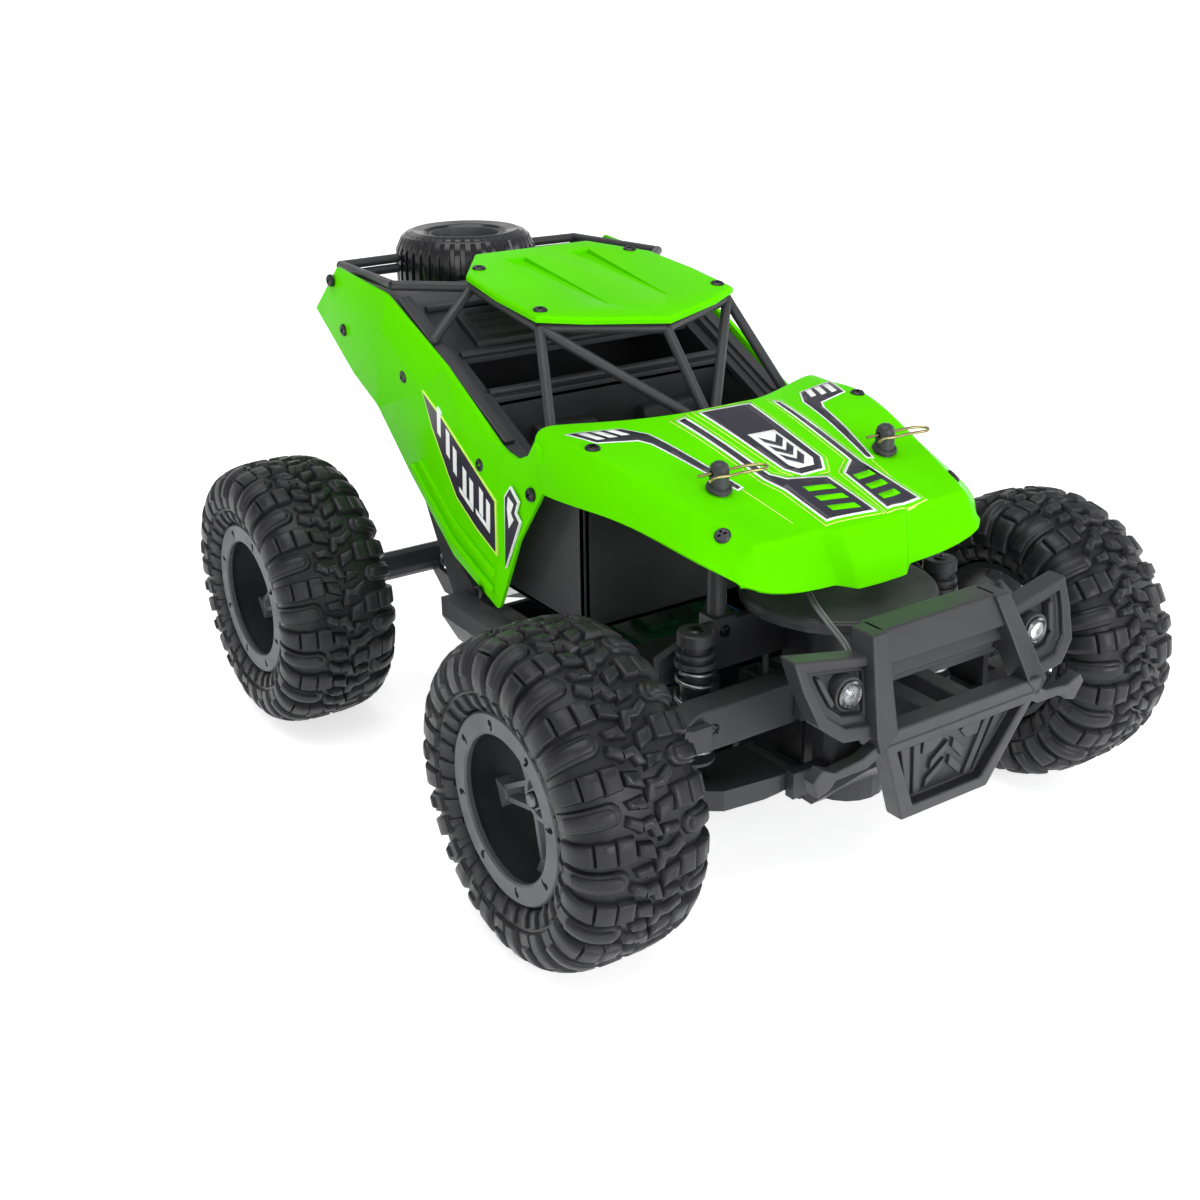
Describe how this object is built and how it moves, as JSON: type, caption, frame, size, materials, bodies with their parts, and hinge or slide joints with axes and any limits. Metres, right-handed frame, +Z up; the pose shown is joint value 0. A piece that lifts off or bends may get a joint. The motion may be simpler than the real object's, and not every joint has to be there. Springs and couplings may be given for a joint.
{
  "type": "remote control car",
  "caption": "Off-road toy buggy with an open roll cage, glossy bonnet and side shell, lugged tyres, independent front links, swinging rear axle and a gear train.",
  "frame": {"origin": "middle of the car's bounding box in plan, on the ground", "axes": "-Y is the car's front, +X its left, +Z up"},
  "size_m": [0.216, 0.276, 0.1543],
  "materials": {
    "body_paint": "gloss moulded in fluorescent green",
    "chassis_plastic": "satin black moulding",
    "grey_plastic": "satin dark grey moulding",
    "wheel_grey": "satin grey wheel ring",
    "tyre_rubber": "matte black tread rubber",
    "spare_gloss": "glossy black moulding",
    "nylon": "natural nylon",
    "battery_wrap": "shrink wrap",
    "board": "solder mask",
    "lens_clear": "clear lamp lens",
    "lead": "thin lead insulation",
    "steel": "bright steel",
    "spring_steel": "dull spring wire",
    "clip_brass": "bright brass-coloured wire"
  },
  "bodies": {
    "car_body": {"chassis": "chassis_plastic", "side_skirts": "grey_plastic", "battery_pack": "battery_wrap", "battery_door": "chassis_plastic", "receiver_board": "board", "steering_servo": "grey_plastic", "body_shell": "body_paint", "roof_panel": "body_paint", "roll_cage": "chassis_plastic", "cockpit_tub": "chassis_plastic", "spare_wheel": "spare_gloss", "bumper": "chassis_plastic", "headlight_lens_left": "lens_clear", "headlight_lens_right": "lens_clear", "headlight_lead": "lead", "shock_body_front_left": "chassis_plastic", "shock_spring_front_left": "spring_steel", "shock_body_front_right": "chassis_plastic", "shock_spring_front_right": "spring_steel", "shock_body_rear_left": "chassis_plastic", "shock_spring_rear_left": "spring_steel", "shock_body_rear_right": "chassis_plastic", "shock_spring_rear_right": "spring_steel"},
    "lower_link_left": {"lower_arm_left": "chassis_plastic"},
    "upper_link_left": {"upper_arm_left": "chassis_plastic"},
    "hub_carrier_left": {"hub_carrier_left": "chassis_plastic"},
    "knuckle_left": {"steering_knuckle_left": "grey_plastic"},
    "front_wheel_left": {"tyre_front_left": "tyre_rubber", "rim_front_left": "chassis_plastic", "beadlock_ring_front_left": "wheel_grey"},
    "tie_rod_left": {"tie_rod_left": "chassis_plastic"},
    "front_shock_rod_left": {"shock_rod_front_left": "grey_plastic"},
    "lower_link_right": {"lower_arm_right": "chassis_plastic"},
    "upper_link_right": {"upper_arm_right": "chassis_plastic"},
    "hub_carrier_right": {"hub_carrier_right": "chassis_plastic"},
    "knuckle_right": {"steering_knuckle_right": "grey_plastic"},
    "front_wheel_right": {"tyre_front_right": "tyre_rubber", "rim_front_right": "chassis_plastic", "beadlock_ring_front_right": "wheel_grey"},
    "tie_rod_right": {"tie_rod_right": "chassis_plastic"},
    "front_shock_rod_right": {"shock_rod_front_right": "grey_plastic"},
    "servo_horn": {"servo_horn": "nylon"},
    "rear_axle_unit": {"gearbox_case": "chassis_plastic", "gearbox_cover": "chassis_plastic", "drive_motor": "steel"},
    "rear_wheels": {"rear_axle": "steel", "tyre_rear_left": "tyre_rubber", "rim_rear_left": "chassis_plastic", "beadlock_ring_rear_left": "wheel_grey", "tyre_rear_right": "tyre_rubber", "rim_rear_right": "chassis_plastic", "beadlock_ring_rear_right": "wheel_grey"},
    "layshaft": {"layshaft_gear": "nylon"},
    "motor_shaft": {"motor_pinion": "clip_brass"},
    "rear_shock_rod_left": {"shock_rod_rear_left": "grey_plastic"},
    "rear_shock_rod_right": {"shock_rod_rear_right": "grey_plastic"},
    "deck_hatch": {"deck_hatch": "grey_plastic"},
    "power_switch": {"power_switch": "grey_plastic"},
    "body_clip_left": {"body_clip_left": "clip_brass"},
    "body_clip_right": {"body_clip_right": "clip_brass"}
  },
  "joints": [
    {"name": "front_suspension_left", "type": "hinge", "parent": "car_body", "child": "lower_link_left", "pos_m": [0.02, -0.083, 0.033], "axis": [0, -1, 0], "range_deg": [0, 8], "stiffness_Nm_per_rad": 0.6, "springref_deg": -11.46, "deforming": ["shock_spring_front_left"]},
    {"name": "upper_arm_swing_left", "type": "hinge", "parent": "car_body", "child": "upper_link_left", "pos_m": [0.02, -0.083, 0.058], "axis": [0, -1, 0], "range_deg": [0, 8]},
    {"name": "hub_carrier_pivot_left", "type": "hinge", "parent": "lower_link_left", "child": "hub_carrier_left", "pos_m": [0.056, -0.083, 0.033], "axis": [0, -1, 0], "range_deg": [-8, 0]},
    {"name": "front_shock_foot_left", "type": "hinge", "parent": "lower_link_left", "child": "front_shock_rod_left", "pos_m": [0.045, -0.083, 0.033], "axis": [0, -1, 0], "range_deg": [-8, 0]},
    {"name": "steering", "type": "hinge", "parent": "hub_carrier_left", "child": "knuckle_left", "pos_m": [0.066, -0.083, 0.045], "axis": [0, 0, 1], "range_deg": [-25, 25]},
    {"name": "tie_rod_slide_left", "type": "slide", "parent": "hub_carrier_left", "child": "tie_rod_left", "axis": [1, 0, 0], "range_m": [-0.0072, 0.0072]},
    {"name": "front_wheel_spin_left", "type": "hinge", "parent": "knuckle_left", "child": "front_wheel_left", "pos_m": [0.08775, -0.083, 0.045], "axis": [1, 0, 0], "continuous": true},
    {"name": "front_suspension_right", "type": "hinge", "parent": "car_body", "child": "lower_link_right", "pos_m": [-0.02, -0.083, 0.033], "axis": [0, 1, 0], "range_deg": [0, 8], "stiffness_Nm_per_rad": 0.6, "springref_deg": -11.46, "deforming": ["shock_spring_front_right"]},
    {"name": "upper_arm_swing_right", "type": "hinge", "parent": "car_body", "child": "upper_link_right", "pos_m": [-0.02, -0.083, 0.058], "axis": [0, 1, 0], "range_deg": [0, 8]},
    {"name": "hub_carrier_pivot_right", "type": "hinge", "parent": "lower_link_right", "child": "hub_carrier_right", "pos_m": [-0.056, -0.083, 0.033], "axis": [0, 1, 0], "range_deg": [-8, 0]},
    {"name": "front_shock_foot_right", "type": "hinge", "parent": "lower_link_right", "child": "front_shock_rod_right", "pos_m": [-0.045, -0.083, 0.033], "axis": [0, 1, 0], "range_deg": [-8, 0]},
    {"name": "steering_right", "type": "hinge", "parent": "hub_carrier_right", "child": "knuckle_right", "pos_m": [-0.066, -0.083, 0.045], "axis": [0, 0, 1], "range_deg": [-25, 25]},
    {"name": "tie_rod_slide_right", "type": "slide", "parent": "hub_carrier_right", "child": "tie_rod_right", "axis": [1, 0, 0], "range_m": [-0.0072, 0.0072]},
    {"name": "front_wheel_spin_right", "type": "hinge", "parent": "knuckle_right", "child": "front_wheel_right", "pos_m": [-0.08775, -0.083, 0.045], "axis": [1, 0, 0], "continuous": true},
    {"name": "servo_turn", "type": "hinge", "parent": "car_body", "child": "servo_horn", "pos_m": [0, -0.053, 0.04], "axis": [0, 0, 1], "range_deg": [-28.7, 28.7]},
    {"name": "rear_suspension", "type": "hinge", "parent": "car_body", "child": "rear_axle_unit", "pos_m": [0, 0.029, 0.038], "axis": [1, 0, 0], "range_deg": [0, 7], "stiffness_Nm_per_rad": 1.6, "springref_deg": -14.32, "deforming": ["shock_spring_rear_left", "shock_spring_rear_right"]},
    {"name": "rear_axle_spin", "type": "hinge", "parent": "rear_axle_unit", "child": "rear_wheels", "pos_m": [0, 0.085, 0.045], "axis": [1, 0, 0], "continuous": true},
    {"name": "layshaft_spin", "type": "hinge", "parent": "rear_axle_unit", "child": "layshaft", "pos_m": [0, 0.06527, 0.05218], "axis": [1, 0, 0], "continuous": true},
    {"name": "motor_spin", "type": "hinge", "parent": "rear_axle_unit", "child": "motor_shaft", "pos_m": [0, 0.04927, 0.05218], "axis": [1, 0, 0], "continuous": true},
    {"name": "rear_shock_foot_left", "type": "hinge", "parent": "rear_axle_unit", "child": "rear_shock_rod_left", "pos_m": [0.032, 0.072, 0.038], "axis": [1, 0, 0], "range_deg": [-7, 0]},
    {"name": "rear_shock_foot_right", "type": "hinge", "parent": "rear_axle_unit", "child": "rear_shock_rod_right", "pos_m": [-0.032, 0.072, 0.038], "axis": [1, 0, 0], "range_deg": [-7, 0]},
    {"name": "deck_hatch_hinge", "type": "hinge", "parent": "car_body", "child": "deck_hatch", "pos_m": [0, 0.0582, 0.1385], "axis": [-1, 0, 0], "range_deg": [0, 35]},
    {"name": "power_switch_slide", "type": "slide", "parent": "car_body", "child": "power_switch", "axis": [0, 1, 0], "range_m": [0, 0.004]},
    {"name": "body_clip_pull_left", "type": "slide", "parent": "car_body", "child": "body_clip_left", "axis": [1, 0, 0], "range_m": [0, 0.012]},
    {"name": "body_clip_pull_right", "type": "slide", "parent": "car_body", "child": "body_clip_right", "axis": [1, 0, 0], "range_m": [0, 0.012]}
  ],
  "couplings": [
    {"joint": "upper_arm_swing_left", "follows": "front_suspension_left", "ratio": 1},
    {"joint": "hub_carrier_pivot_left", "follows": "front_suspension_left", "ratio": -1},
    {"joint": "front_shock_foot_left", "follows": "front_suspension_left", "ratio": -1},
    {"joint": "tie_rod_slide_left", "follows": "steering", "m_per_rad": -0.016},
    {"joint": "upper_arm_swing_right", "follows": "front_suspension_right", "ratio": 1},
    {"joint": "hub_carrier_pivot_right", "follows": "front_suspension_right", "ratio": -1},
    {"joint": "front_shock_foot_right", "follows": "front_suspension_right", "ratio": -1},
    {"joint": "tie_rod_slide_right", "follows": "steering", "m_per_rad": -0.016},
    {"joint": "steering_right", "follows": "steering", "ratio": 1},
    {"joint": "servo_turn", "follows": "steering", "ratio": -1.1429},
    {"joint": "layshaft_spin", "follows": "rear_axle_spin", "ratio": -2.5},
    {"joint": "motor_spin", "follows": "rear_axle_spin", "ratio": 7.5},
    {"joint": "rear_shock_foot_left", "follows": "rear_suspension", "ratio": -1},
    {"joint": "rear_shock_foot_right", "follows": "rear_suspension", "ratio": -1}
  ]
}
